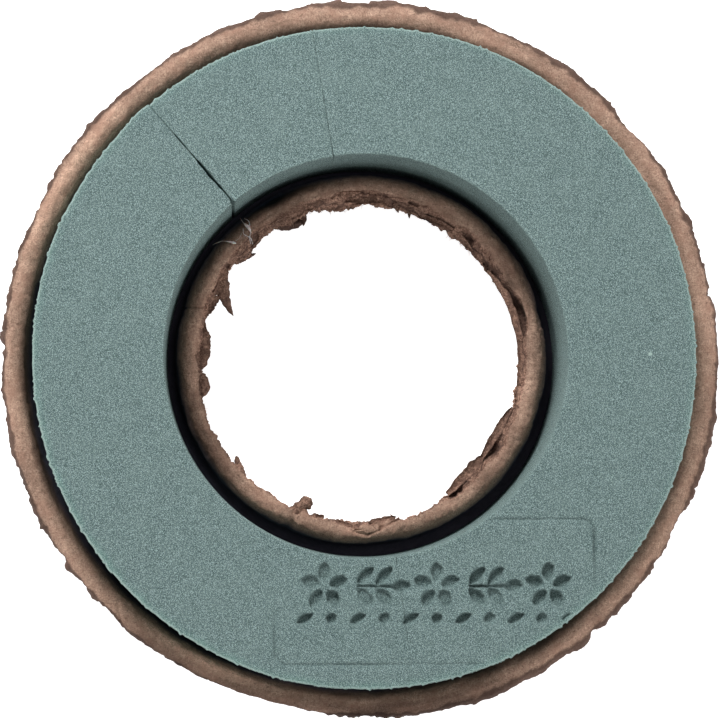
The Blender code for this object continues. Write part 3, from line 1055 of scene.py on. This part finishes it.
def make_foam(name, start, end, openings, proud, finish):
    """One piece of foam, which stands proud of the ring (or short of it) beside the open joint.

    openings are the half gaps at its start and end, each outside and inside.
    """
    angle = foam_angles(start, end)[:, None]
    share, inset, height = foam_section()
    ahead_x, ahead_y = np.cos(angle), np.sin(angle)
    near_top = smooth(height, FOAM_TOP - 5 * MM, FOAM_TOP - 0.3 * MM)
    teeth = np.clip(around(angle, 0.8 * MM, SEED + 64, 2, 0.8) - 0.15, 0, 1) * near_top
    ragged = 0.10 * MM * around(angle, 1.2 * MM, SEED + 61, 2, 0.8) * near_top
    bulge = 0.40 * MM * around(angle, 60 * MM, SEED + 62, 2)
    outer_r = FOAM_RADIUS + 0.15 * MM + bulge + proud * hump(angle, PROUD_AT, 4.0)
    outer_r = outer_r + ragged + 0.55 * MM * teeth
    inner_r = HOLE_RADIUS + 0.8 * ragged
    inner_x, inner_y = HOLE_CENTRE[0] + inner_r * ahead_x, HOLE_CENTRE[1] + inner_r * ahead_y
    outer_x, outer_y = FOAM_CENTRE[0] + outer_r * ahead_x, FOAM_CENTRE[1] + outer_r * ahead_y
    x = inner_x + (outer_x - inner_x) * share + inset * ahead_x
    y = inner_y + (outer_y - inner_y) * share + inset * ahead_y
    z = np.broadcast_to(height, x.shape).copy()

    top = (height > FOAM_TOP - EDGE_ROUND - 1e-6) & (share > 0.001) & (share < 0.999)
    pores = np.clip(noise(x, y, 0.0, 0.7 * MM, SEED + 65) - 0.1, 0, 1)
    pressed = pressed_depth(x, y) * smooth(share, 0.995, 0.955) * smooth(share, 0.005, 0.03)
    from_speck = np.hypot((x - SPECK[0]) / 1.2, y - SPECK[1])
    speck = np.where(top, smooth(from_speck, 0.75 * MM, 0.40 * MM), 0.0)
    z = z - np.where(top, pressed + 0.10 * MM * pores - 0.25 * MM * speck, 0.0)
    wall_pores = 0.10 * MM * np.clip(noise(x, y, z, 1.0 * MM, SEED + 66), 0, 1)
    wall_out = np.where(share > 0.999, -1.0, np.where(share < 0.001, 1.0, 0.0))
    x = x + wall_out * wall_pores * ahead_x
    y = y + wall_out * wall_pores * ahead_y

    for away, opening, side in zip((angle - start, end - angle), openings, (1, -1)):
        push = cut_back(x, y, z, share, away, opening, side)
        x = x - ahead_y * push
        y = y + ahead_x * push
    marks = foam_marks(angle, share, height, speck)
    return grid_object(name, np.stack([x, y, z], -1), False, marks, finish)


def make_foam_ring(finish):
    """Three pieces, each with the half gaps of the joints at its ends, outside and inside."""
    butted = (0.02 * MM, 0.03 * MM)
    upper = (0.04 * MM, 0.05 * MM)
    opened = (0.05 * MM, 0.55 * MM)
    pieces = {
        "foam_wedge": ("foam_piece_wedge", TOP_JOINT, OPEN_JOINT, (upper, opened), -0.3 * MM),
        "foam_left": ("foam_piece_left", OPEN_JOINT, BOTTOM_JOINT, (opened, butted), 0.6 * MM),
        "foam_right": ("foam_piece_right", BOTTOM_JOINT, TOP_JOINT + TURN, (butted, upper), 0.0),
    }
    for node, (name, start, end, openings, proud) in pieces.items():
        piece = make_foam(name, start, end, openings, proud, finish)
        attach(piece, "root")
        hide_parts(node)


# ------------ stage

def area_light(name, azimuth, elevation, power):
    """A soft white light aimed at the ring."""
    data = bpy.data.lights.new(name, "AREA")
    data.shape = "DISK"
    data.size = LIGHT_SIZE
    data.energy = power
    lamp = bpy.data.objects.new(name, data)
    a, e = math.radians(azimuth), math.radians(elevation)
    ahead = Vector((math.cos(a) * math.cos(e), math.sin(a) * math.cos(e), math.sin(e)))
    lamp.location = ahead * LIGHT_DISTANCE
    lamp.rotation_mode = "QUATERNION"
    lamp.rotation_quaternion = ahead.to_track_quat("Z", "Y")
    bpy.context.scene.collection.objects.link(lamp)


def make_stage():
    """A plain pale floor, a strong soft light from the top, and weaker ones above and at the sides."""
    mesh = bpy.data.meshes.new("floor")
    signs = ((-1, -1), (1, -1), (1, 1), (-1, 1))
    corners = [(x * FLOOR_HALF, y * FLOOR_HALF, FLOOR_LEVEL) for x, y in signs]
    mesh.from_pydata(corners, [], [(0, 1, 2, 3)])
    mesh.materials.append(floor_material())
    floor = bpy.data.objects.new("floor", mesh)
    bpy.context.scene.collection.objects.link(floor)

    world = bpy.data.worlds.new("studio")
    world.use_nodes = True
    sky = world.node_tree.nodes["Background"].inputs
    sky["Color"].default_value = rgb(1.0, 1.0, 1.0)
    sky["Strength"].default_value = SKY_STRENGTH
    bpy.context.scene.world = world
    for name, (azimuth, elevation, power) in LIGHTS.items():
        area_light(name, azimuth, elevation, power)
    bpy.context.scene.view_settings.view_transform = "Standard"


def make_camera():
    """Seen from above, at the angle that the constants give."""
    away = math.sin(CAMERA_LEAN)
    across = away * math.cos(CAMERA_AZIMUTH), away * math.sin(CAMERA_AZIMUTH)
    back = Vector((*across, math.cos(CAMERA_LEAN)))
    up = (Vector((0, 1, 0)) - back * back.y).normalized()
    data = bpy.data.cameras.new("camera")
    data.sensor_width = 36.0
    data.lens = LENS
    camera = bpy.data.objects.new("camera", data)
    camera.location = CAMERA_TARGET + back * CAMERA_DISTANCE
    camera.rotation_mode = "QUATERNION"
    camera.rotation_quaternion = Matrix((up.cross(back), up, back)).transposed().to_quaternion()
    bpy.context.scene.collection.objects.link(camera)
    bpy.context.scene.camera = camera


# ------------ the whole

foam = foam_material()
pulp = pulp_material()
glue = glue_material()

tray = make_tray(pulp)
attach(tray, "root")
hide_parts("pulp_tray")
make_flaps(pulp)
make_fibres(pulp)
make_foam_ring(foam)
make_glue_strings(glue)
for name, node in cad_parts.items():
    if name.startswith("glue_dab"):
        node.data.materials.clear()
        node.data.materials.append(glue)

make_stage()
make_camera()
